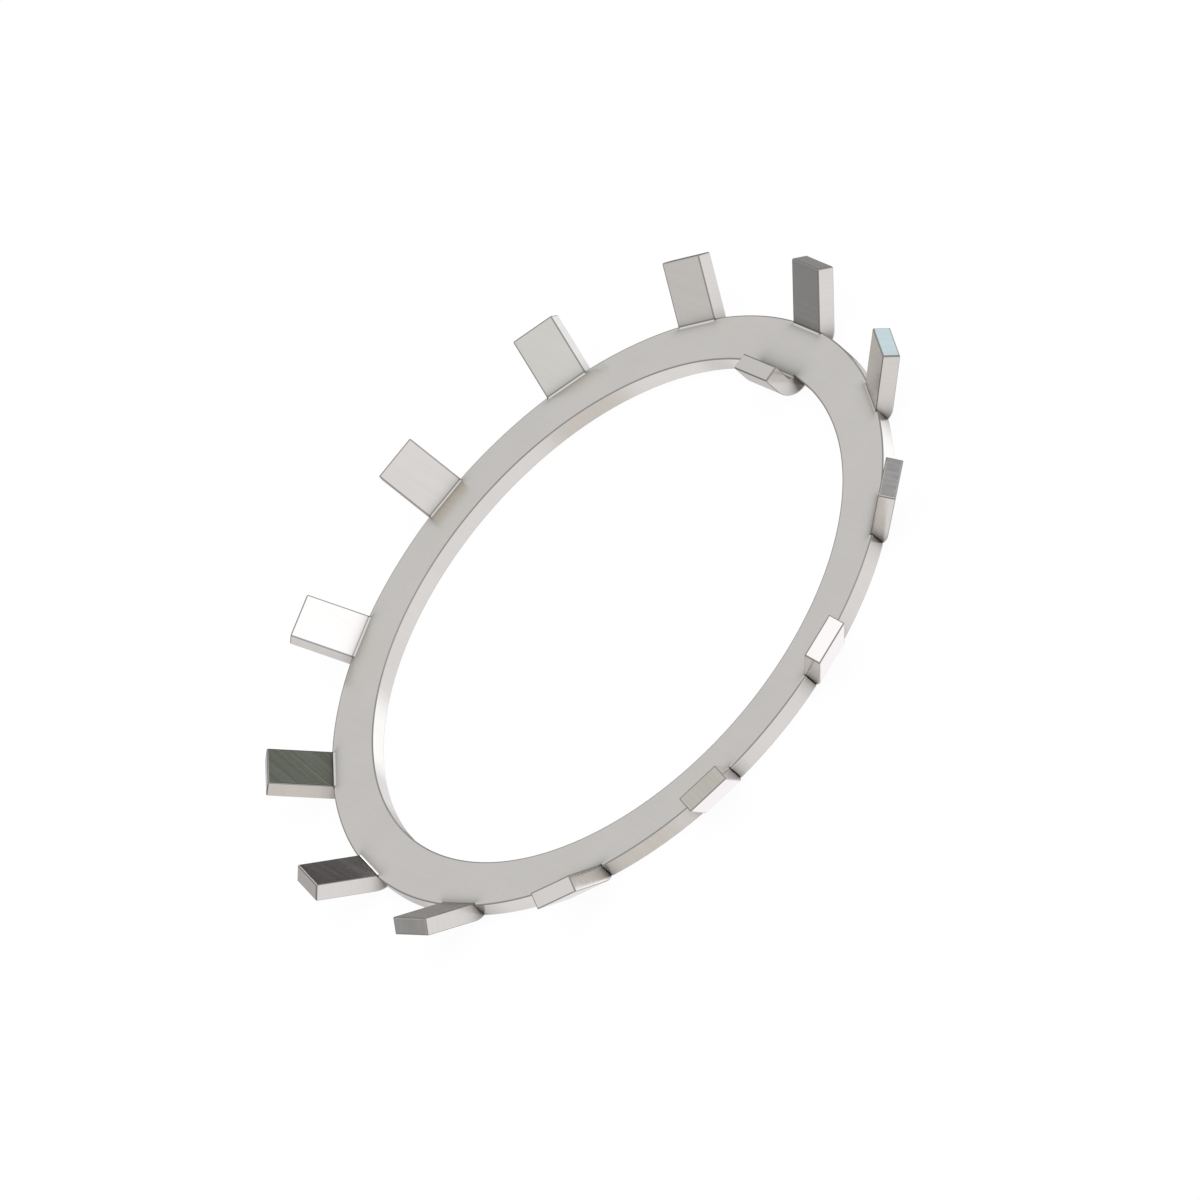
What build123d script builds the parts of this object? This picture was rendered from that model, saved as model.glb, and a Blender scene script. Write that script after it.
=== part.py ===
from build123d import *
import os

# Tab lock washer: a flat ring blanked from sheet steel, with thirteen locking tabs folded up
# round its rim and one key tab folded up at its bore, in line with the first locking tab.
# Millimetres. The origin is the centre of the bore on the back face, +Z points to the side
# that the tabs are folded to, and the key tab stands on +Y.

# Sheet
sheet = 1.2                  # thickness
edge_break = 0.06            # chamfer along every blanked edge
bend_radius = 0.3            # inside every fold

# Flat ring
bore_diameter = 40.0
ring_width = 3.5             # from the bore to the rim

# Locking tabs round the rim
tab_count = 13
tab_width = 3.3
tab_inset = 0.37             # from the rim inward to where the front face starts to fold
tab_angle = 44.0             # turned up from the ring
tab_leg = 4.4                # straight part, from the end of the fold to the tip

# Key tab in the bore
key_width = 4.0
key_step = 0.02              # past the bore's edge, at the tab's sides, to where the fold starts
key_angle = 90.0             # turned up from the ring
key_leg = 1.33               # straight part, from the end of the fold to the tip

# Derived from the sizes above
bore_radius = bore_diameter / 2
ring_radius = bore_radius + ring_width
ring_middle = (ring_radius + bore_radius) / 2
tab_fold = ring_radius - tab_inset
bore_at_key = (bore_radius**2 - (key_width / 2) ** 2) ** 0.5
key_fold = bore_at_key - key_step
middle_radius = bend_radius + sheet / 2     # of a fold, along the middle of the sheet

# One locking tab, swept along the middle of the sheet from its fold to its tip
with BuildPart() as locking_tab:
    with BuildLine(Plane.YZ) as tab_path:
        fold = JernArc((tab_fold, sheet / 2), (1, 0), middle_radius, tab_angle)
        PolarLine(fold @ 1, tab_leg, tab_angle)
    with BuildSketch(Plane(origin=fold @ 0, x_dir=(1, 0, 0), z_dir=(0, 1, 0))) as tab_section:
        Rectangle(tab_width, sheet)
        chamfer(tab_section.vertices(), edge_break)
    sweep(path=tab_path.wire())
    flat_faces = locking_tab.faces().filter_by(GeomType.PLANE)
    tip = flat_faces.sort_by_distance(tab_path.wire() @ 1).first
    chamfer(tip.edges(), edge_break)

# The key tab, swept the same way towards the bore's axis and up
with BuildPart() as key_tab:
    with BuildLine(Plane.YZ) as key_path:
        fold = JernArc((key_fold, sheet / 2), (-1, 0), middle_radius, -key_angle)
        PolarLine(fold @ 1, key_leg, 180 - key_angle)
    with BuildSketch(Plane(origin=fold @ 0, x_dir=(1, 0, 0), z_dir=(0, -1, 0))) as key_section:
        Rectangle(key_width, sheet)
        chamfer(key_section.vertices(), edge_break)
    sweep(path=key_path.wire())
    flat_faces = key_tab.faces().filter_by(GeomType.PLANE)
    tip = flat_faces.sort_by_distance(key_path.wire() @ 1).first
    chamfer(tip.edges(), edge_break)

# The ring, turned from its section, notched back to each locking tab's fold, with a flat
# tongue out to the key tab's fold, and then all the tabs
with BuildPart() as tab_lock_washer:
    with BuildSketch(Plane.XZ) as ring_section:
        with Locations((ring_middle, sheet / 2)):
            Rectangle(ring_width, sheet)
        chamfer(ring_section.vertices(), edge_break)
    revolve(axis=Axis.Z)
    with BuildSketch(Plane.XY):
        with PolarLocations(ring_radius, tab_count, start_angle=90):
            Rectangle(2 * tab_inset, tab_width)
    extrude(amount=sheet, mode=Mode.SUBTRACT)
    with BuildSketch(Plane.XY):
        with Locations((0, ring_middle)):
            Rectangle(key_width, ring_middle - key_fold, align=(Align.CENTER, Align.MAX))
    extrude(amount=sheet)
    with PolarLocations(0, tab_count):
        add(locking_tab.part)
    add(key_tab.part)

tab_lock_washer.part.label = "tab_lock_washer"

os.makedirs("parts", exist_ok=True)
export_step(tab_lock_washer.part, "parts/tab_lock_washer.step")
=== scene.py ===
import math

import bmesh
import bpy
from mathutils import Matrix, Vector


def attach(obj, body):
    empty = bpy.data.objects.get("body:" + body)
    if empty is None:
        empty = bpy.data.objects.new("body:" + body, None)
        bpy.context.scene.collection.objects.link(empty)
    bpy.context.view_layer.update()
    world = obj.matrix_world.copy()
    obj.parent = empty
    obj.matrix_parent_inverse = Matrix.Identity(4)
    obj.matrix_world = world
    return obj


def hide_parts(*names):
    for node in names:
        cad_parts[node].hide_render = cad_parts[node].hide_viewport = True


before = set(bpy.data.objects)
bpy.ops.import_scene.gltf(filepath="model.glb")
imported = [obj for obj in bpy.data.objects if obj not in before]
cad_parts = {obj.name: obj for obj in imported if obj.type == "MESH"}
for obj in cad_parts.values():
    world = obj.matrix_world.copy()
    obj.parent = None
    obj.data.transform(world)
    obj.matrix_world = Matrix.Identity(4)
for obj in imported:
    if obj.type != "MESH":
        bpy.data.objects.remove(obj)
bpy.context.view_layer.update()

# Tab lock washer: a flat ring blanked from satin sheet steel, with thirteen locking tabs folded
# up round its rim and one key tab folded up at its bore. Sizes are in millimetres until a mesh
# is made, and MM turns them to metres.

MM = 0.001

# The sheet and its edges
SHEET = 1.2                     # thickness
EDGE = 0.06                     # tumbled round along every blanked edge
TIP_EDGE = 0.11                 # the same along the edges of the tabs' tips
BEND = 0.3                      # inside radius of every fold
FOLD_MIDDLE = BEND + SHEET / 2  # radius of every fold at the middle of the sheet

# The ring
BORE_RADIUS = 20.0
RIM_RADIUS = 23.5

# The locking tabs round the rim
TAB_COUNT = 13
TAB_WIDTH = 3.3
TAB_FOLD = 23.13                # from the axis to where the front face starts to fold
TAB_ANGLE = 44.0
TAB_LEG = 4.4
SLIT = 0.01                     # how far the sheet opened beside each tab, at the rim
SLIT_BEND = 20.0                # degrees of fold over which the rounds grow from the slit

# The key tab in the bore
KEY_WIDTH = 4.0
KEY_FOLD = 19.88
KEY_ANGLE = 90.0
KEY_LEG = 1.33

# Where the folds end on the flat blank, from the axis
TAB_FOLD_END = TAB_FOLD + FOLD_MIDDLE * math.radians(TAB_ANGLE)
KEY_FOLD_END = KEY_FOLD - FOLD_MIDDLE * math.radians(KEY_ANGLE)

# How finely the surfaces are divided, and which points are one
ROUND_STEPS = 4                 # across one edge round
RIM_STEP = 1.05                 # degrees of ring for one face
FOLD_STEP = 5.0                 # degrees of fold for one face
QUARTERS = (0.25, 0.5, 0.75, 1.0)   # along a tab's leg, its slit and the slit's corner
SMOOTH_ANGLE = 30.0             # degrees between faces that shade as one surface
DOUBLES = 0.0001                # points of one sector that are this close are one
SEAM = 0.001                    # points of two sectors that are this close are sewn


# Small helpers

def linear(hex_colour):
    """An sRGB colour as the linear RGBA that a shader socket takes."""
    channels = [int(hex_colour[i : i + 2], 16) / 255 for i in (1, 3, 5)]
    return [c / 12.92 if c <= 0.04045 else ((c + 0.055) / 1.055) ** 2.4 for c in channels] + [1.0]


def add_node(tree, kind, settings=None, inputs=None):
    """Adds one node: settings are its properties, inputs its sockets by name or number. An input
    that is given another node's output, or the node itself for its first one, is linked to it.
    By number, a Map Range's 1 and 2 are the range that it reads and 3 and 4 the one that it
    gives, and a Mix's 0 is the factor, 2 and 3 its two values, 6 and 7 its two colours."""
    node = tree.nodes.new(kind)
    for name, value in (settings or {}).items():
        setattr(node, name, value)
    for name, value in (inputs or {}).items():
        if isinstance(value, bpy.types.Node):
            value = value.outputs[0]
        if isinstance(value, bpy.types.NodeSocket):
            tree.links.new(value, node.inputs[name])
        else:
            node.inputs[name].default_value = value
    return node


# The sheet: one sector of the ring with its tab, as rows of points joined by faces

class Sheet:
    """Points of folded sheet with the faces between them. Each point also carries its place on
    the flat blank, that place as seen from its own tab's middle line, and whether it is on an
    edge round."""

    def __init__(self):
        self.points, self.blank, self.edge, self.faces = [], [], [], []
        self.has_key = False

    def point(self, place, blank, edge=0.0):
        self.points.append(place)
        self.blank.append(blank)
        self.edge.append(edge)
        return len(self.points) - 1

    def flat_point(self, x, y, z, edge=0.0):
        return self.point((x, y, z), (x, y, z), edge)

    def strip(self, row, next_row, closed=False):
        """Faces between two rows with equally many points."""
        count = len(row)
        for i in range(count if closed else count - 1):
            j = (i + 1) % count
            self.faces.append((row[i], row[j], next_row[j], next_row[i]))

    def to_object(self, name):
        """A mesh object in metres, with doubles merged and faces of no area left out."""
        mesh = bmesh.new()
        blank = mesh.verts.layers.float_vector.new("blank")
        from_tab = mesh.verts.layers.float_vector.new("from_tab")
        edge = mesh.verts.layers.float.new("edge")
        has_key = mesh.verts.layers.float.new("has_key")
        vertices = []
        for i, place in enumerate(self.points):
            x, y, z = self.blank[i]
            vertex = mesh.verts.new(place)
            vertex[blank] = (x, y, z)
            vertex[from_tab] = (abs(x), y, z)
            vertex[edge] = self.edge[i]
            vertex[has_key] = float(self.has_key)
            vertices.append(vertex)
        for face in self.faces:
            mesh.faces.new([vertices[i] for i in dict.fromkeys(face)])
        bmesh.ops.remove_doubles(mesh, verts=mesh.verts, dist=DOUBLES)
        bmesh.ops.scale(mesh, vec=(MM, MM, MM), verts=mesh.verts)
        data = bpy.data.meshes.new(name)
        mesh.to_mesh(data)
        mesh.free()
        piece = bpy.data.objects.new(name, data)
        bpy.context.scene.collection.objects.link(piece)
        return piece


def round_profile():
    """One quarter round from the face to the wall: how far in from the wall and how far down
    from the face, as shares of its radius, and whether the point is between the two."""
    quarter = math.pi / 2
    steps = [quarter * i / ROUND_STEPS for i in range(ROUND_STEPS + 1)]
    return [(1 - math.sin(a), 1 - math.cos(a), float(0 < a < quarter)) for a in steps]


def edge_column(sheet, foot, inward, radius):
    """Points down a blanked edge of the ring, from the front face round the edge to the back.
    inward is the vector from the wall to where the round begins."""
    profile = [
        (foot.x + inward.x * into, foot.y + inward.y * into, radius * down, between * radius / EDGE)
        for into, down, between in round_profile()
    ]
    front = [sheet.flat_point(x, y, SHEET - depth, edge) for x, y, depth, edge in profile]
    back = [sheet.flat_point(x, y, depth, edge) for x, y, depth, edge in reversed(profile)]
    return front + back


def tab_section(sheet, fold, bend, run, side, half_width, columns, radius, inset=0.0):
    """One closed section across a tab, at a bend angle and then a straight run beyond it.
    side is 1 for a tab that leaves the rim and -1 for the key tab, columns are the places
    across the flat faces, as shares of the half width. radius is that of the edge rounds, and
    inset how far the section has drawn in on the tip's own round. Returns the loop of points."""
    angle = math.radians(bend)
    along = (side * math.cos(angle), math.sin(angle))
    normal = (-side * math.sin(angle), math.cos(angle))
    centre = (
        fold + side * FOLD_MIDDLE * math.sin(angle) + run * along[0],
        SHEET + BEND - FOLD_MIDDLE * math.cos(angle) + run * along[1],
    )
    blank_y = fold + side * (FOLD_MIDDLE * angle + run)
    wide, thick = half_width - inset, SHEET / 2 - inset
    corner = max(radius - inset, 0.0)
    on_tip_round = 0 < inset < TIP_EDGE

    def at(x, h, between=0.0):
        place = (x, centre[0] + h * normal[0], centre[1] + h * normal[1])
        edge = 1.0 if on_tip_round else between * corner / EDGE
        return sheet.point(place, (x, blank_y, SHEET / 2 + h), edge)

    profile = [
        (wide - corner * into, thick - corner * down, between)
        for into, down, between in round_profile()
    ]
    right = [at(x, h, between) for x, h, between in profile]
    right += [at(x, -h, between) for x, h, between in reversed(profile)]
    back = [at(share * (wide - corner), -thick) for share in reversed(columns)]
    left = [at(-x, -h, between) for x, h, between in profile]
    left += [at(-x, h, between) for x, h, between in reversed(profile)]
    front = [at(share * (wide - corner), thick) for share in columns]
    return right + back + left + front


def folded_tab(sheet, fold, bend_angle, leg, side, half_width, columns, slit_bend):
    """A whole tab from its fold to its rounded tip. slit_bend is the bend angle over which the
    edge rounds grow from nothing, where the tab leaves the slits beside it, or None."""
    steps = math.ceil(bend_angle / FOLD_STEP)
    loops = []
    for i in range(steps + 1):
        bend = bend_angle * i / steps
        radius = EDGE * math.sin(math.pi / 2 * min(bend / slit_bend, 1)) if slit_bend else EDGE
        loops.append(tab_section(sheet, fold, bend, 0, side, half_width, columns, radius))
    for share in QUARTERS[:-1]:
        run = share * leg
        loops.append(tab_section(sheet, fold, bend_angle, run, side, half_width, columns, EDGE))
    for into, down, _ in reversed(round_profile()):
        run, inset = leg - TIP_EDGE * down, TIP_EDGE * into
        loops.append(
            tab_section(sheet, fold, bend_angle, run, side, half_width, columns, EDGE, inset)
        )
    for loop, following in zip(loops, loops[1:]):
        sheet.strip(loop, following, closed=True)

    # The flat tip, between the front row and the back row of the last section
    corner_points, across = 2 * (ROUND_STEPS + 1), len(columns)
    last = loops[-1]
    back = last[corner_points - 1 : corner_points + across + 1]
    front = [last[0]] + last[2 * corner_points + across :][::-1]
    front.append(last[2 * corner_points + across - 1])
    sheet.strip(front, back)


def on_circle(radius, angle):
    """The point at an angle in degrees from +Y towards +X."""
    a = math.radians(angle)
    return Vector((radius * math.sin(a), radius * math.cos(a)))


def sector(name, with_key):
    """One thirteenth of the washer, with its locking tab on +Y, open at its two cuts. The edges
    of the right half are listed from the middle outwards and mirrored to the left."""
    sheet = Sheet()
    sheet.has_key = with_key
    half_tab, half_key = TAB_WIDTH / 2, KEY_WIDTH / 2
    half_sector = 180 / TAB_COUNT

    # The corner between the slit beside the tab and the rim is rounded as the edges are
    corner = Vector((half_tab + SLIT + EDGE, 0))
    corner.y = math.sqrt((RIM_RADIUS - EDGE) ** 2 - corner.x**2)
    corner_angle = math.degrees(math.atan2(corner.x, corner.y))
    slit_angle = math.degrees(math.atan2(half_tab, TAB_FOLD))

    # The key tab's edge rounds meet the bore's at a mitre
    mitre = Vector((half_key - EDGE, 0))
    mitre.y = math.sqrt((BORE_RADIUS + EDGE) ** 2 - mitre.x**2)
    mitre_angle = math.degrees(math.atan2(mitre.x, mitre.y))

    # Angles at which both faces of the ring are divided
    rim_count = math.ceil((half_sector - mitre_angle) / RIM_STEP)
    rim_step = (half_sector - mitre_angle) / rim_count
    rim_angles = [corner_angle] + [mitre_angle + rim_step * i for i in range(rim_count + 1)]
    fold_angles = [slit_angle * share for share in QUARTERS[:-1]]
    key_angles = fold_angles + [slit_angle, corner_angle]

    # Places across the two tabs, where the ring's faces meet their folds
    shares = [math.tan(math.radians(a)) * TAB_FOLD / half_tab for a in fold_angles]
    tab_columns = [-s for s in reversed(shares)] + [0.0] + shares
    shares = [math.tan(math.radians(a)) * KEY_FOLD / mitre.x for a in key_angles]
    key_columns = [-s for s in reversed(shares)] + [0.0] + shares

    # Edges outside: the slit, whose round grows from nothing, its corner, and the rim
    outer = []
    for share in (0.0, *QUARTERS):
        grown = EDGE * math.sin(math.pi / 2 * share)
        foot = Vector((half_tab + SLIT * share, TAB_FOLD + (corner.y - TAB_FOLD) * share))
        outer.append((foot, Vector((grown, 0)), grown))
    for share in QUARTERS:
        turn = math.radians(180 - (90 + corner_angle) * share)
        out = Vector((math.cos(turn), math.sin(turn))) * EDGE
        outer.append((corner + out, -out, EDGE))
    beside_tab = len(outer)
    for angle in rim_angles[1:]:
        outer.append((on_circle(RIM_RADIUS, angle), -on_circle(EDGE, angle), EDGE))

    # Edges inside: the key tab's root, and the bore
    inner = []
    if with_key:
        root = Vector((half_key, math.sqrt(BORE_RADIUS**2 - half_key**2)))
        inner.append((Vector((half_key, KEY_FOLD)), Vector((-EDGE, 0)), EDGE))
        inner.append((root, mitre - root, EDGE))
        bore_angles = rim_angles[2:]
    else:
        bore_angles = [0.0] + fold_angles + rim_angles
    for angle in bore_angles:
        inner.append((on_circle(BORE_RADIUS, angle), on_circle(EDGE, angle), EDGE))

    folded_tab(sheet, TAB_FOLD, TAB_ANGLE, TAB_LEG, 1, half_tab, tab_columns, SLIT_BEND)
    if with_key:
        folded_tab(sheet, KEY_FOLD, KEY_ANGLE, KEY_LEG, -1, half_key, key_columns, None)

    def fold_line(y, angles, mirror, height):
        across = [mirror * y * math.tan(math.radians(a)) for a in angles]
        return [sheet.flat_point(x, y, height) for x in across]

    for mirror in (1, -1):
        flip = Vector((mirror, 1))
        outer_columns = [edge_column(sheet, f * flip, i * flip, r) for f, i, r in outer]
        inner_columns = [edge_column(sheet, f * flip, i * flip, r) for f, i, r in inner]
        for columns in (outer_columns, inner_columns):
            for column, following in zip(columns, columns[1:]):
                sheet.strip(column, following)

        # The flat faces, in strips from the tab's fold, its slit and the rim to the bore or the
        # key tab's fold. Where one side has fewer points, its point there is taken again.
        on_fold = 1 + len(fold_angles)
        for end, height in ((0, SHEET), (-1, 0.0)):
            outer_ends = [column[end] for column in outer_columns]
            inner_ends = [column[end] for column in inner_columns]
            far = fold_line(TAB_FOLD, [0.0] + fold_angles, mirror, height)
            far += outer_ends[:beside_tab]
            if with_key:
                root_line = fold_line(KEY_FOLD, [0.0] + key_angles, mirror, height)
                near = root_line[: on_fold + 1] + root_line[on_fold + 1 :] * (beside_tab - 1)
                near += inner_ends[:2] + inner_ends[1:]
                far += far[-1:] * 2
            else:
                near = inner_ends[:on_fold] + inner_ends[on_fold : on_fold + 1] * beside_tab
                near += inner_ends[on_fold + 1 :]
            sheet.strip(far + outer_ends[beside_tab:], near)
    return sheet.to_object(name)


def tabs_round_the_rim():
    """Geometry Nodes: sets the sectors round the axis, turns each one's place on the blank with
    it, and joins them to one closed sheet."""
    tree = bpy.data.node_groups.new("tabs_round_the_rim", "GeometryNodeTree")
    for name, kind in (
        ("Plain Sector", "NodeSocketGeometry"),
        ("Key Sector", "NodeSocketObject"),
        ("Tabs", "NodeSocketInt"),
        ("Finish", "NodeSocketMaterial"),
    ):
        tree.interface.new_socket(name, in_out="INPUT", socket_type=kind)
    tree.interface.new_socket("Washer", in_out="OUTPUT", socket_type="NodeSocketGeometry")
    given = add_node(tree, "NodeGroupInput").outputs

    # One point for each sector, all on the axis, each with its own turn
    points = add_node(tree, "GeometryNodePoints", inputs={"Count": given["Tabs"]})
    index = add_node(tree, "GeometryNodeInputIndex")
    step = add_node(tree, "ShaderNodeMath", {"operation": "DIVIDE"}, {0: math.tau, 1: given["Tabs"]})
    turn = add_node(tree, "ShaderNodeMath", {"operation": "MULTIPLY"}, {0: index, 1: step})
    marked = add_node(
        tree,
        "GeometryNodeStoreNamedAttribute",
        {"data_type": "FLOAT", "domain": "POINT"},
        {"Geometry": points, "Name": "turn", "Value": turn},
    )
    rotation = add_node(
        tree, "FunctionNodeAxisAngleToRotation", inputs={"Axis": (0, 0, 1), "Angle": turn}
    )

    # The sector with the key tab on the first point, and plain ones on the others
    first = add_node(
        tree,
        "FunctionNodeCompare",
        {"data_type": "INT", "operation": "EQUAL"},
        {"A": index, "B": 0},
    )
    others = add_node(tree, "FunctionNodeBooleanMath", {"operation": "NOT"}, {0: first})
    key_sector = add_node(tree, "GeometryNodeObjectInfo", inputs={"Object": given["Key Sector"]})
    joined = add_node(tree, "GeometryNodeJoinGeometry")
    for chosen, geometry in (
        (first, key_sector.outputs["Geometry"]),
        (others, given["Plain Sector"]),
    ):
        copies = add_node(
            tree,
            "GeometryNodeInstanceOnPoints",
            inputs={
                "Points": marked,
                "Selection": chosen,
                "Instance": geometry,
                "Rotation": rotation,
            },
        )
        tree.links.new(copies.outputs[0], joined.inputs[0])
    real = add_node(tree, "GeometryNodeRealizeInstances", inputs={"Geometry": joined})

    # The turn that each realized point kept also turns its place on the blank
    blank = add_node(
        tree, "GeometryNodeInputNamedAttribute", {"data_type": "FLOAT_VECTOR"}, {"Name": "blank"}
    )
    own_turn = add_node(
        tree, "GeometryNodeInputNamedAttribute", {"data_type": "FLOAT"}, {"Name": "turn"}
    )
    own_rotation = add_node(
        tree, "FunctionNodeAxisAngleToRotation", inputs={"Axis": (0, 0, 1), "Angle": own_turn}
    )
    turned = add_node(
        tree, "FunctionNodeRotateVector", inputs={"Vector": blank, "Rotation": own_rotation}
    )
    on_blank = add_node(
        tree,
        "GeometryNodeStoreNamedAttribute",
        {"data_type": "FLOAT_VECTOR", "domain": "POINT"},
        {"Geometry": real, "Name": "blank", "Value": turned},
    )
    sewn = add_node(
        tree,
        "GeometryNodeMergeByDistance",
        inputs={"Geometry": on_blank, "Distance": SEAM * MM},
    )
    smooth = add_node(tree, "GeometryNodeSetShadeSmooth", inputs={"Geometry": sewn})
    finished = add_node(
        tree,
        "GeometryNodeSetMaterial",
        inputs={"Geometry": smooth, "Material": given["Finish"]},
    )
    add_node(tree, "NodeGroupOutput", inputs={"Washer": finished})
    return tree


def keep_flats_flat(data):
    """Gives each face's corners the direction of the largest faces that run on smoothly from it,
    so that only the small edge rounds and the folds shade as round."""
    smooth = math.cos(math.radians(SMOOTH_ANGLE))
    faces_at = {}
    for face in data.polygons:
        for vertex in face.vertices:
            faces_at.setdefault(vertex, []).append((face.normal.copy(), face.area / MM**2))
    directions = []
    for face in data.polygons:
        for vertex in face.vertices:
            direction = Vector()
            for normal, area in faces_at[vertex]:
                if normal.dot(face.normal) > smooth:
                    direction += normal * area**2
            directions.append(direction.normalized())
    data.normals_split_custom_set(directions)


def washer(finish):
    """The whole washer as one closed mesh, in the CAD node's place."""
    plain, keyed = sector("plain_sector", False), sector("key_sector", True)
    tree = tabs_round_the_rim()
    values = {"Key Sector": keyed, "Tabs": TAB_COUNT, "Finish": finish}
    modifier = plain.modifiers.new("tabs_round_the_rim", "NODES")
    modifier.node_group = tree
    for item in tree.interface.items_tree:
        if item.in_out == "INPUT" and item.name in values:
            modifier[item.identifier] = values[item.name]
    seen = plain.evaluated_get(bpy.context.evaluated_depsgraph_get())
    data = bpy.data.meshes.new_from_object(seen)
    data.name = "folded_washer"
    plain.modifiers.remove(modifier)
    for sketch in (plain, keyed):
        bpy.data.meshes.remove(sketch.data)

    mesh = bmesh.new()
    mesh.from_mesh(data)
    bmesh.ops.recalc_face_normals(mesh, faces=mesh.faces)
    mesh.to_mesh(data)
    mesh.free()
    keep_flats_flat(data)
    piece = bpy.data.objects.new("folded_washer", data)
    bpy.context.scene.collection.objects.link(piece)
    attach(piece, "root")
    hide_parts("tab_lock_washer")
    return piece


# The finish

# Sizes of its marks and of its painted shade, in millimetres on the flat blank
GRAIN = (14.0, 0.25, 3.0)       # a rolling line's length, width and depth into the sheet
RELIEF = 0.0002                 # height of the rolling lines
MOTTLE = 0.25                   # tumbling marks
CLOUDS = 4.0                    # broad patches of slightly other grey
EDGE_SHADE_STRIP = (0.08, 0.12)          # painted shade strip along the blanked outline: full up to, faded by
FACE_BAND = (0.59, 0.6)         # from the sheet's middle, where its walls turn to its faces
FRONT_BAND = (1.05, 1.19)       # from the back, where the walls' marks turn to the front face's
WALL_BAND = (0.0, 0.12)         # from the back, where the walls' marks begin
ROOT = 0.3                      # from the start of a fold, the darkest painted shade on the walls
HOLLOW = 0.12                   # how far the front face's painted shade fades into a fold
FOLD_LINE = 0.07                # from the end of a fold to its thin painted dark line
FOLD_LINE_BAND = (0.05, 0.16)   # half of that painted line: full up to, faded by

# How strong they are
CLOUD_SHARE = 0.45              # of the clouds in the colour, and the rest of the rolling lines
FOLD_LINE_DARK = 0.55           # share of the light that the painted dark line along a fold takes
LINE_TONES = (0.35, 0.65)       # the lines' noise where they are smoothest and roughest
LINE_GLOSS = (0.13, 0.18)       # their roughness there
MOTTLE_GLOSS = 0.03             # roughness that the tumbling marks add
MOTTLE_RELIEF = 0.2             # height that they add, to 1 of the rolling lines
EDGE_GLOSS = 0.14               # roughness along the edges


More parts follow.
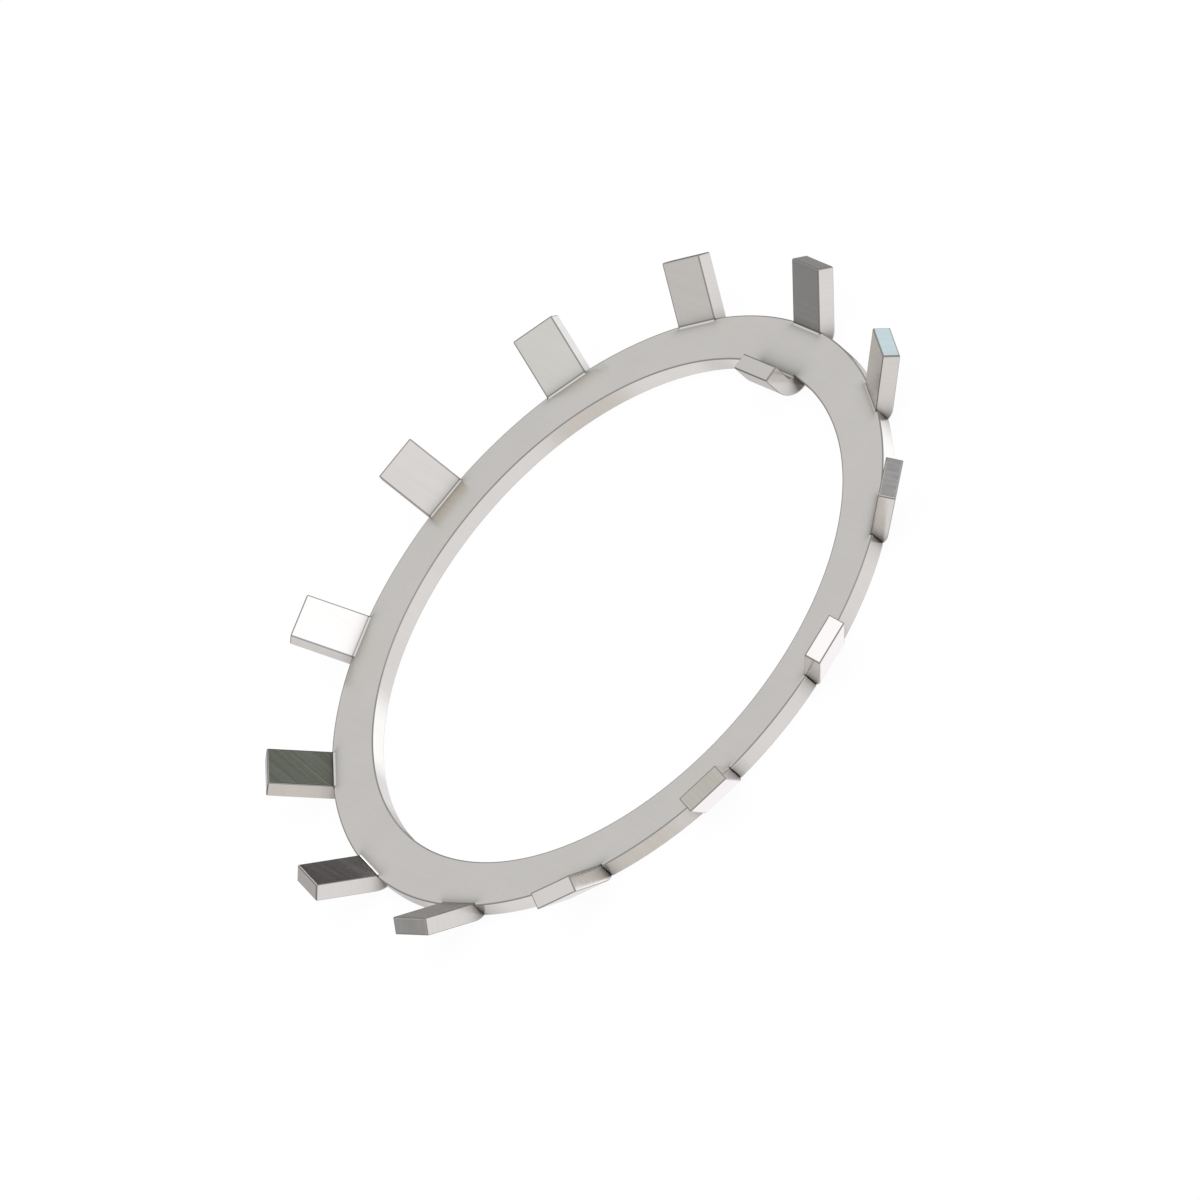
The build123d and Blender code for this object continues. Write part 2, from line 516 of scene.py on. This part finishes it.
def painted_fold_shade(tree, place, has_key):
    """Painted shade beside the folds: how light the steel is painted there. The corners where a tab
    leaves the ring are painted darker, as the shade that falls in them, with one thin painted dark
    line where a tab's face ends. place is where a point was on the blank, seen from its own tab's
    middle line."""
    low, high = FRONT_BAND
    front = add_node(
        tree, "ShaderNodeMapRange", inputs={"Value": place["Z"], 1: low, 2: high, 3: 0.0, 4: 1.0}
    )
    low, high = WALL_BAND
    wall = add_node(
        tree, "ShaderNodeMapRange", inputs={"Value": place["Z"], 1: low, 2: high, 3: 0.0, 4: 1.0}
    )

    # For both kinds of tab: its half width, its fold's start and end, where there is one, how
    #     dark the painted shade on the front face and the walls gets, and over what length each
    #     fades
    lightness = 1.0
    for half_width, start, end, there, on_front, on_wall, front_reach, wall_reach in (
        (TAB_WIDTH / 2, TAB_FOLD, TAB_FOLD_END, 1.0, 0.36, 0.72, 0.28, 0.5),
        (KEY_WIDTH / 2, KEY_FOLD, KEY_FOLD_END, has_key, 0.72, 0.8, 0.5, 0.4),
    ):
        beside = add_node(
            tree, "ShaderNodeMath", {"operation": "SUBTRACT"}, {0: place["X"], 1: half_width}
        )
        beside = add_node(tree, "ShaderNodeMath", {"operation": "MAXIMUM"}, {0: beside, 1: 0.0})
        along = add_node(
            tree, "ShaderNodeMath", {"operation": "SUBTRACT"}, {0: place["Y"], 1: (start + end) / 2}
        )
        along = add_node(tree, "ShaderNodeMath", {"operation": "ABSOLUTE"}, {0: along})
        along = add_node(
            tree, "ShaderNodeMath", {"operation": "SUBTRACT"}, {0: along, 1: abs(end - start) / 2}
        )
        beyond = add_node(tree, "ShaderNodeMath", {"operation": "MAXIMUM"}, {0: along, 1: 0.0})

        # The front face is painted dark on both sides of the fold and light in it, and the walls are
        #         painted dark from the corner where the tab leaves the ring, as the shade that falls
        #         there
        root = add_node(
            tree, "ShaderNodeMath", {"operation": "SUBTRACT"}, {0: place["Y"], 1: start}
        )
        root = add_node(tree, "ShaderNodeMath", {"operation": "ABSOLUTE"}, {0: root})
        root = add_node(tree, "ShaderNodeMath", {"operation": "SUBTRACT"}, {0: root, 1: ROOT})
        root = add_node(tree, "ShaderNodeMath", {"operation": "MAXIMUM"}, {0: root, 1: 0.0})
        beyond = add_node(
            tree, "ShaderNodeMix", {"data_type": "FLOAT"}, {0: front, 2: root, 3: beyond}
        )
        hollow = add_node(
            tree,
            "ShaderNodeMapRange",
            inputs={"Value": along, 1: -HOLLOW, 2: 0.0, 3: 0.0, 4: on_front},
        )
        on_side = add_node(
            tree, "ShaderNodeMath", {"operation": "MULTIPLY"}, {0: wall, 1: on_wall}
        )
        depth = add_node(
            tree, "ShaderNodeMix", {"data_type": "FLOAT"}, {0: front, 2: on_side, 3: hollow}
        )
        away = add_node(tree, "ShaderNodeCombineXYZ", inputs={0: beside, 1: beyond})
        distance = add_node(
            tree, "ShaderNodeVectorMath", {"operation": "LENGTH"}, {0: away}
        ).outputs["Value"]
        reach = add_node(
            tree,
            "ShaderNodeMix",
            {"data_type": "FLOAT"},
            {0: front, 2: -wall_reach, 3: -front_reach},
        )
        fading = add_node(
            tree, "ShaderNodeMath", {"operation": "DIVIDE"}, {0: distance, 1: reach}
        )
        fading = add_node(tree, "ShaderNodeMath", {"operation": "EXPONENT"}, {0: fading})
        shade = add_node(
            tree, "ShaderNodeMath", {"operation": "MULTIPLY"}, {0: fading, 1: depth}
        )
        shade = add_node(tree, "ShaderNodeMath", {"operation": "MULTIPLY"}, {0: shade, 1: there})
        light = add_node(tree, "ShaderNodeMath", {"operation": "SUBTRACT"}, {0: 1.0, 1: shade})
        lightness = add_node(
            tree, "ShaderNodeMath", {"operation": "MULTIPLY"}, {0: lightness, 1: light}
        )

    # The thin painted dark line on the front face, just inside the outer end of each locking tab's
    # fold
    line = add_node(
        tree,
        "ShaderNodeMath",
        {"operation": "SUBTRACT"},
        {0: place["Y"], 1: TAB_FOLD_END - FOLD_LINE},
    )
    line = add_node(tree, "ShaderNodeMath", {"operation": "ABSOLUTE"}, {0: line})
    full, faded = FOLD_LINE_BAND
    line = add_node(
        tree,
        "ShaderNodeMapRange",
        {"interpolation_type": "SMOOTHSTEP"},
        {"Value": line, 1: full, 2: faded, 3: FOLD_LINE_DARK, 4: 0.0},
    )
    line = add_node(tree, "ShaderNodeMath", {"operation": "MULTIPLY"}, {0: line, 1: front})
    line = add_node(tree, "ShaderNodeMath", {"operation": "SUBTRACT"}, {0: 1.0, 1: line})
    return add_node(
        tree, "ShaderNodeMath", {"operation": "MULTIPLY"}, {0: lightness, 1: line}
    )


def painted_edge_shade(tree, place, has_key):
    """Where shade is painted beside the edges: 1 in a thin strip of both faces along the blank's
    outline, and 0 inside it. place is where a point was on the blank, seen from its own tab's middle
    line."""
    ring_middle = (RIM_RADIUS + BORE_RADIUS) / 2
    tab_tip, key_tip = TAB_FOLD_END + TAB_LEG, KEY_FOLD_END - KEY_LEG

    # How far inside the ring, its locking tab or the key tab a point is
    flat = add_node(tree, "ShaderNodeCombineXYZ", inputs={0: place["X"], 1: place["Y"]})
    radius = add_node(
        tree, "ShaderNodeVectorMath", {"operation": "LENGTH"}, {0: flat}
    ).outputs["Value"]
    inside = add_node(
        tree, "ShaderNodeMath", {"operation": "SUBTRACT"}, {0: radius, 1: ring_middle}
    )
    inside = add_node(tree, "ShaderNodeMath", {"operation": "ABSOLUTE"}, {0: inside})
    inside = add_node(
        tree, "ShaderNodeMath", {"operation": "SUBTRACT"}, {0: RIM_RADIUS - ring_middle, 1: inside}
    )
    for half_width, low, high, there in (
        (TAB_WIDTH / 2, ring_middle, tab_tip, 1.0),
        (KEY_WIDTH / 2, key_tip, ring_middle, has_key),
    ):
        across = add_node(
            tree, "ShaderNodeMath", {"operation": "SUBTRACT"}, {0: half_width, 1: place["X"]}
        )
        along = add_node(
            tree, "ShaderNodeMath", {"operation": "SUBTRACT"}, {0: place["Y"], 1: (low + high) / 2}
        )
        along = add_node(tree, "ShaderNodeMath", {"operation": "ABSOLUTE"}, {0: along})
        along = add_node(
            tree, "ShaderNodeMath", {"operation": "SUBTRACT"}, {0: (high - low) / 2, 1: along}
        )
        tab = add_node(tree, "ShaderNodeMath", {"operation": "MINIMUM"}, {0: across, 1: along})
        tab = add_node(tree, "ShaderNodeMix", {"data_type": "FLOAT"}, {0: there, 2: -1.0, 3: tab})
        inside = add_node(tree, "ShaderNodeMath", {"operation": "MAXIMUM"}, {0: inside, 1: tab})

    full, faded = EDGE_SHADE_STRIP
    strip = add_node(
        tree, "ShaderNodeMapRange", inputs={"Value": inside, 1: full, 2: faded, 3: 1.0, 4: 0.0}
    )
    height = add_node(
        tree, "ShaderNodeMath", {"operation": "SUBTRACT"}, {0: place["Z"], 1: SHEET / 2}
    )
    height = add_node(tree, "ShaderNodeMath", {"operation": "ABSOLUTE"}, {0: height})
    low, high = FACE_BAND
    on_face = add_node(
        tree, "ShaderNodeMapRange", inputs={"Value": height, 1: low, 2: high, 3: 0.0, 4: 1.0}
    )
    return add_node(tree, "ShaderNodeMath", {"operation": "MULTIPLY"}, {0: strip, 1: on_face})


def satin_rolled_steel():
    """Cold-rolled steel sheet, blanked, folded and tumbled. The rolls leave a faint straight
    grain that runs one way across the whole blank and is carried up each tab as it was folded.
    Tumbling leaves a satin face. A darker line of painted shade runs along every edge, and
    painted shade lies beside the folds."""
    material = bpy.data.materials.new("satin_rolled_steel")
    material.use_nodes = True
    tree = material.node_tree
    tree.nodes.clear()

    # Where a point was on the blank, and the same as seen from its own tab's middle line
    blank = add_node(tree, "ShaderNodeAttribute", {"attribute_name": "blank"}).outputs["Vector"]
    from_tab = add_node(tree, "ShaderNodeAttribute", {"attribute_name": "from_tab"})
    place = add_node(tree, "ShaderNodeSeparateXYZ", inputs={0: from_tab.outputs["Vector"]}).outputs
    has_key = add_node(tree, "ShaderNodeAttribute", {"attribute_name": "has_key"}).outputs["Fac"]

    # Rolling lines: really about 0.05 mm apart, which is finer than a pixel here, so they are
    # drawn 0.25 mm wide
    along = add_node(
        tree,
        "ShaderNodeMapping",
        inputs={"Vector": blank, "Scale": [1 / size for size in GRAIN]},
    )
    lines = add_node(
        tree,
        "ShaderNodeTexNoise",
        inputs={"Vector": along, "Scale": 1.0, "Detail": 2.0, "Roughness": 0.7},
    ).outputs["Fac"]

    # Tumbling marks: a fine even mottle, and broad clouds of slightly other grey
    mottle = add_node(
        tree,
        "ShaderNodeTexNoise",
        inputs={"Vector": blank, "Scale": 1 / MOTTLE, "Detail": 2.0, "Roughness": 0.5},
    ).outputs["Fac"]
    clouds = add_node(
        tree,
        "ShaderNodeTexNoise",
        inputs={"Vector": blank, "Scale": 1 / CLOUDS, "Detail": 2.0, "Roughness": 0.5},
    ).outputs["Fac"]

    # Painted shade along the edges: on the rounds themselves, and on a thin strip of the faces
    # beside them
    rounds = add_node(tree, "ShaderNodeAttribute", {"attribute_name": "edge"}).outputs["Fac"]
    outline = painted_edge_shade(tree, place, has_key)
    edge = add_node(tree, "ShaderNodeMath", {"operation": "MAXIMUM"}, {0: rounds, 1: outline})

    # Colour: warm grey, a little lighter and darker along the lines and in the clouds, with
    #     painted shade along the edges and beside the folds
    mixed = add_node(
        tree, "ShaderNodeMix", {"data_type": "FLOAT"}, {0: CLOUD_SHARE, 2: lines, 3: clouds}
    )
    faces = add_node(
        tree,
        "ShaderNodeMix",
        {"data_type": "RGBA"},
        {"Factor": mixed, 6: linear("#d8d3cd"), 7: linear("#e8e3dd")},
    ).outputs[2]
    # The darker grey here is painted shade along the edges
    steel = add_node(
        tree,
        "ShaderNodeMix",
        {"data_type": "RGBA"},
        {"Factor": edge, 6: faces, 7: linear("#9c9894")},
    ).outputs[2]
    colour = add_node(
        tree,
        "ShaderNodeVectorMath",
        {"operation": "SCALE"},
        {0: steel, "Scale": painted_fold_shade(tree, place, has_key)},
    )

    # Gloss: satin, a little rougher in the lines and in the tumbling marks
    smooth_tone, rough_tone = LINE_TONES
    smooth, rough = LINE_GLOSS
    line_gloss = add_node(
        tree,
        "ShaderNodeMapRange",
        inputs={"Value": lines, 1: smooth_tone, 2: rough_tone, 3: smooth, 4: rough},
    )
    face_gloss = add_node(
        tree,
        "ShaderNodeMath",
        {"operation": "MULTIPLY_ADD"},
        {0: mottle, 1: MOTTLE_GLOSS, 2: line_gloss},
    )
    gloss = add_node(
        tree, "ShaderNodeMix", {"data_type": "FLOAT"}, {0: edge, 2: face_gloss, 3: EDGE_GLOSS}
    )

    # Height: the lines are under a micrometre deep
    relief = add_node(
        tree,
        "ShaderNodeMath",
        {"operation": "MULTIPLY_ADD"},
        {0: mottle, 1: MOTTLE_RELIEF, 2: lines},
    )
    bump = add_node(
        tree,
        "ShaderNodeBump",
        inputs={"Height": relief, "Strength": 1.0, "Distance": RELIEF * MM},
    )
    shader = add_node(
        tree,
        "ShaderNodeBsdfPrincipled",
        inputs={"Base Color": colour, "Metallic": 1.0, "Roughness": gloss, "Normal": bump},
    )
    add_node(tree, "ShaderNodeOutputMaterial", inputs={"Surface": shader})
    return material


# The studio

STUDIO_LEVEL = 0.92             # strength of all that the metal mirrors
STUDIO_WHITE = ("#fafbff", 1.04)
AREA_EDGE = (1.25, 0.55)        # shares of an area's size: begins at, full from

# What the metal mirrors: a white studio with soft bright and dark areas. Each is given by its
# azimuth from +X and elevation, its half width and half height in degrees, colour and strength,
# and covers those before it.
AREAS = (
    (58, 50, 42, 18, "#f6f9ff", 1.64),      # large soft lamp
    (-67, 50, 20, 12, "#f1f4f5", 1.0),
    (-35, 53, 16, 12, "#d5d6d0", 1.0),
    (169, 42, 40, 20, "#e7e9eb", 1.0),      # wide pale screen, which the ring faces mirror
    (167, 58, 16, 12, "#dddbd3", 1.0),
    (-112, 32, 24, 14, "#dfdfe1", 1.0),     # end of that screen
    (-45, 0, 90, 14, "#a0a0a0", 1.0),       # horizon in front
    (180, 1, 80, 26, "#999b9e", 1.0),       # horizon behind
    (157, 19, 12, 8, "#a6a8aa", 1.0),
    (-140, 8, 30, 18, "#949698", 1.0),      # unlit side of the room
    (150, -14, 18, 16, "#a0a2a6", 1.0),     # unlit back of the room
    (131, 4, 15, 13, "#555253", 1.0),
    (101, 25, 13, 13, "#676e63", 1.0),      # opening between two screens
    (80, 35, 11, 9, "#9fa2a7", 1.0),
    (-160, -4, 9, 9, "#c5c5c7", 1.0),
    (-172, 14, 9, 6, "#e8e8e8", 1.0),
    (118, 20, 6, 19, "#d9f4ff", 1.25),      # narrow lamp at the screen's edge
    (139, 21, 8, 7, "#ffffff", 3.0),        # small lamp beside it
    (170, -54, 40, 15, "#fcfaff", 1.24),    # pale floor: lit, then in the shade of the screens
    (100, -34, 20, 18, "#f7fbff", 1.55),
    (-64, -34, 20, 20, "#e8e6e4", 1.0),
    (-130, -36, 8, 12, "#ebebed", 1.0),
    (155, -36, 13, 12, "#dddddd", 1.0),
    (-168, -36, 14, 12, "#d6d6d8", 1.0),
    (173, -39, 10, 8, "#f4f4f4", 1.0),
    (168, -31, 10, 6, "#303030", 1.0),      # shade under the screen
)

# The floor
FLOOR_HALF = 1.5                # metres from its middle to its edges
FLOOR_GAP = 0.01                # millimetres from the washer down to it
FLOOR_GLOW = 1.04               # of its plain white, before the shadow is mixed in
SHADOW_SHARE = 0.1              # of the lit board with the washer's shadow, as the camera sees it

# The camera's frame: its two axes, and in millimetres where its middle lies along them from the
# middle of the ring's front face, and how wide it is
FRAME_RIGHT = (0.53516387, 0.57050072, -0.62299965)
FRAME_UP = (-0.22489779, 0.80710248, 0.54589978)
FRAME_SHIFT = (-0.496, 0.6945)
FRAME_WIDTH = 79.98
CAMERA_DISTANCE = 0.4           # metres


def studio_surroundings():
    """The world: plain white to the camera, and about the same white with its soft areas to
    whatever it lights and to the metal that mirrors it."""
    world = bpy.data.worlds.new("white_studio")
    bpy.context.scene.world = world
    # Satin metal meets the world with its own mirrored rays, so none are sent to it at random
    world.cycles.sampling_method = "NONE"
    world.use_nodes = True
    tree = world.node_tree
    tree.nodes.clear()
    towards = add_node(tree, "ShaderNodeTexCoord").outputs["Generated"]
    parts = add_node(tree, "ShaderNodeSeparateXYZ", inputs={0: towards}).outputs
    azimuth = add_node(
        tree, "ShaderNodeMath", {"operation": "ARCTAN2"}, {0: parts["Y"], 1: parts["X"]}
    )
    elevation = add_node(tree, "ShaderNodeMath", {"operation": "ARCSINE"}, {0: parts["Z"]})

    def lit(hex_colour, strength):
        return [c * strength * STUDIO_LEVEL for c in linear(hex_colour)[:3]] + [1.0]

    colour = lit(*STUDIO_WHITE)
    begins, full = AREA_EDGE
    for az, el, half_width, half_height, hex_colour, strength in AREAS:
        offset = add_node(
            tree, "ShaderNodeMath", {"operation": "SUBTRACT"}, {0: azimuth, 1: math.radians(az)}
        )
        sideways = add_node(
            tree, "ShaderNodeMath", {"operation": "WRAP"}, {0: offset, 1: math.pi, 2: -math.pi}
        )
        upwards = add_node(
            tree, "ShaderNodeMath", {"operation": "SUBTRACT"}, {0: elevation, 1: math.radians(el)}
        )
        place = add_node(tree, "ShaderNodeCombineXYZ", inputs={0: sideways, 1: upwards})
        size = (1 / math.radians(half_width), 1 / math.radians(half_height), 1.0)
        scaled = add_node(
            tree, "ShaderNodeVectorMath", {"operation": "MULTIPLY"}, {0: place, 1: size}
        )
        distance = add_node(
            tree, "ShaderNodeVectorMath", {"operation": "LENGTH"}, {0: scaled}
        ).outputs["Value"]
        inside = add_node(
            tree,
            "ShaderNodeMapRange",
            {"interpolation_type": "SMOOTHSTEP"},
            {"Value": distance, 1: begins, 2: full, 3: 0.0, 4: 1.0},
        )
        colour = add_node(
            tree,
            "ShaderNodeMix",
            {"data_type": "RGBA"},
            {"Factor": inside, 6: colour, 7: lit(hex_colour, strength)},
        ).outputs[2]

    light = add_node(tree, "ShaderNodeLightPath").outputs
    seen = add_node(
        tree,
        "ShaderNodeMath",
        {"operation": "MAXIMUM"},
        {0: light["Is Camera Ray"], 1: light["Is Transmission Ray"]},
    )
    studio = add_node(tree, "ShaderNodeBackground", inputs={"Color": colour})
    plain = add_node(tree, "ShaderNodeBackground", inputs={"Color": linear("#ffffff")})
    both = add_node(tree, "ShaderNodeMixShader", inputs={0: seen, 1: studio, 2: plain})
    add_node(tree, "ShaderNodeOutputWorld", inputs={"Surface": both})


def white_floor():
    """A matt white floor, which the camera sees as plain white with a trace of the washer's
    shadow. The metal looks through it to the studio's own soft floor areas."""
    material = bpy.data.materials.new("matt_white_board")
    material.use_nodes = True
    tree = material.node_tree
    tree.nodes.clear()
    light = add_node(tree, "ShaderNodeLightPath").outputs
    seen = add_node(
        tree,
        "ShaderNodeMath",
        {"operation": "MAXIMUM"},
        {0: light["Is Camera Ray"], 1: light["Is Transmission Ray"]},
    )
    pale = add_node(tree, "ShaderNodeBsdfDiffuse", inputs={"Color": linear("#e7e7e7")})
    white = add_node(
        tree, "ShaderNodeEmission", inputs={"Color": linear("#ffffff"), "Strength": FLOOR_GLOW}
    )
    shadowed = add_node(tree, "ShaderNodeMixShader", inputs={0: SHADOW_SHARE, 1: white, 2: pale})
    board = add_node(tree, "ShaderNodeMixShader", inputs={0: seen, 1: pale, 2: shadowed})
    mirrored = add_node(
        tree,
        "ShaderNodeMath",
        {"operation": "MAXIMUM"},
        {0: light["Is Glossy Ray"], 1: light["Is Shadow Ray"]},
    )
    clear = add_node(tree, "ShaderNodeBsdfTransparent")
    both = add_node(tree, "ShaderNodeMixShader", inputs={0: mirrored, 1: board, 2: clear})
    add_node(tree, "ShaderNodeOutputMaterial", inputs={"Surface": both})

    mesh = bmesh.new()
    bmesh.ops.create_grid(mesh, x_segments=4, y_segments=4, size=FLOOR_HALF)
    bmesh.ops.translate(mesh, vec=(0, 0, -FLOOR_GAP * MM), verts=mesh.verts)
    data = bpy.data.meshes.new("floor")
    mesh.to_mesh(data)
    mesh.free()
    data.materials.append(material)
    floor = bpy.data.objects.new("floor", data)
    bpy.context.scene.collection.objects.link(floor)


def camera():
    """Looks down on the washer from the photograph's side, in parallel projection, with the
    rolled frame that shows the key tab at the upper right."""
    right, up = Vector(FRAME_RIGHT), Vector(FRAME_UP)
    back = right.cross(up)
    middle = (Vector((0, 0, SHEET)) + FRAME_SHIFT[0] * right + FRAME_SHIFT[1] * up) * MM
    data = bpy.data.cameras.new("camera")
    data.type = "ORTHO"
    data.ortho_scale = FRAME_WIDTH * MM
    data.clip_start, data.clip_end = 0.001, 10.0
    view = bpy.data.objects.new("camera", data)
    turned = Matrix((right, up, back)).transposed().to_4x4()
    view.matrix_world = Matrix.Translation(middle + back * CAMERA_DISTANCE) @ turned
    bpy.context.scene.collection.objects.link(view)
    bpy.context.scene.camera = view


washer(satin_rolled_steel())
white_floor()
studio_surroundings()
camera()
bpy.context.scene.view_settings.view_transform = "Standard"
